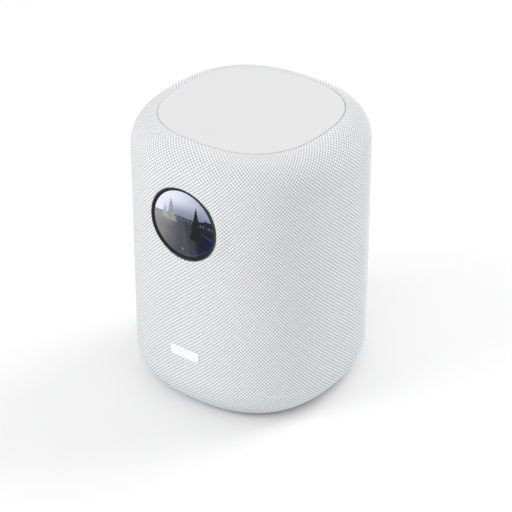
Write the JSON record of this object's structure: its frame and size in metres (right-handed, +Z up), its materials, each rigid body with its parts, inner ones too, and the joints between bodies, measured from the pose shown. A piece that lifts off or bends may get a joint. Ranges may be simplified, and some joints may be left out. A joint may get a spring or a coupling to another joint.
{
  "type": "tabletop smart display speaker",
  "caption": "Fabric-covered tabletop speaker column with a rounded-square plan, a small round touch screen in its front, a flat touch panel on top and recessed sockets low on its back.",
  "frame": {"origin": "middle of the footprint, on the surface that the foot ring stands on", "axes": "+Z up, the screen faces -Y, +X is to the right of someone facing the screen"},
  "size_m": [0.146, 0.1476, 0.193],
  "materials": {
    "fabric_white": "knitted white fabric",
    "panel_white": "smooth light grey plastic",
    "cage_grey": "moulded grey plastic",
    "black_plastic": "moulded black plastic",
    "screen_glass": "polished dark cover glass",
    "foot_rubber": "soft grey rubber",
    "paper_cone": "pressed paper pulp",
    "silk": "coated dark cloth",
    "steel": "plated steel",
    "ferrite": "sintered ferrite",
    "aluminium": "bare aluminium",
    "copper": "enamelled copper wire",
    "board_green": "circuit board with solder mask",
    "foam": "open-cell foam",
    "polyimide": "flexible printed cable"
  },
  "bodies": {
    "housing": {"fabric_sleeve": "fabric_white", "front_cage": "cage_grey", "rear_cage": "cage_grey", "name_badge": "panel_white", "top_panel": "panel_white", "touch_board": "board_green", "top_deck": "cage_grey", "sound_diffuser": "black_plastic", "base_plate": "cage_grey", "foot_ring": "foot_rubber", "base_screw_1": "steel", "base_screw_2": "steel", "base_screw_3": "steel", "base_screw_4": "steel", "electronics_housing": "cage_grey", "enclosure_floor": "cage_grey", "acoustic_enclosure": "cage_grey", "damping_foam": "foam", "screen_trim_ring": "black_plastic", "screen_lens": "screen_glass", "screen_gasket": "foam", "screen_panel": "screen_glass", "screen_bracket": "black_plastic", "screen_board": "board_green", "screen_ribbon": "polyimide", "woofer_basket": "steel", "woofer_surround": "foot_rubber", "woofer_spider": "silk", "woofer_top_plate": "steel", "woofer_magnet": "ferrite", "woofer_yoke": "steel", "tweeter_left_faceplate": "black_plastic", "tweeter_left_motor": "steel", "tweeter_left_surround": "silk", "tweeter_right_faceplate": "black_plastic", "tweeter_right_motor": "steel", "tweeter_right_surround": "silk", "socket_panel": "panel_white", "mains_inlet": "black_plastic", "mains_inlet_pin_1": "steel", "mains_inlet_pin_2": "steel", "network_jack": "steel", "audio_jack": "black_plastic", "power_board": "board_green", "main_board": "board_green", "power_transformer": "ferrite", "mains_capacitor": "aluminium", "heat_sink": "aluminium", "processor_shield": "steel", "wireless_antenna_left": "board_green", "wireless_antenna_right": "board_green"},
    "woofer_diaphragm": {"woofer_cone": "paper_cone", "woofer_dust_cap": "paper_cone", "woofer_voice_coil": "copper"},
    "tweeter_left_diaphragm": {"tweeter_left_dome": "silk"},
    "tweeter_right_diaphragm": {"tweeter_right_dome": "silk"},
    "setup_button_cap": {"setup_button": "cage_grey"},
    "microphone_switch_knob": {"microphone_switch": "black_plastic"}
  },
  "joints": [
    {"name": "woofer_stroke", "type": "slide", "parent": "housing", "child": "woofer_diaphragm", "axis": [0, 0, 1], "range_m": [-0.005, 0.005], "stiffness_N_per_m": 2500, "deforming": ["woofer_surround", "woofer_spider"]},
    {"name": "tweeter_left_stroke", "type": "slide", "parent": "housing", "child": "tweeter_left_diaphragm", "axis": [-0.7071, -0.7071, 0], "range_m": [-0.0003, 0.0003], "stiffness_N_per_m": 2000, "deforming": ["tweeter_left_surround"]},
    {"name": "tweeter_right_stroke", "type": "slide", "parent": "housing", "child": "tweeter_right_diaphragm", "axis": [0.7071, -0.7071, 0], "range_m": [-0.0003, 0.0003], "stiffness_N_per_m": 2000, "deforming": ["tweeter_right_surround"]},
    {"name": "setup_button_press", "type": "slide", "parent": "housing", "child": "setup_button_cap", "axis": [0, -1, 0], "range_m": [0, 0.0008], "stiffness_N_per_m": 600},
    {"name": "microphone_switch_slide", "type": "slide", "parent": "housing", "child": "microphone_switch_knob", "axis": [1, 0, 0], "range_m": [0, 0.002]}
  ]
}
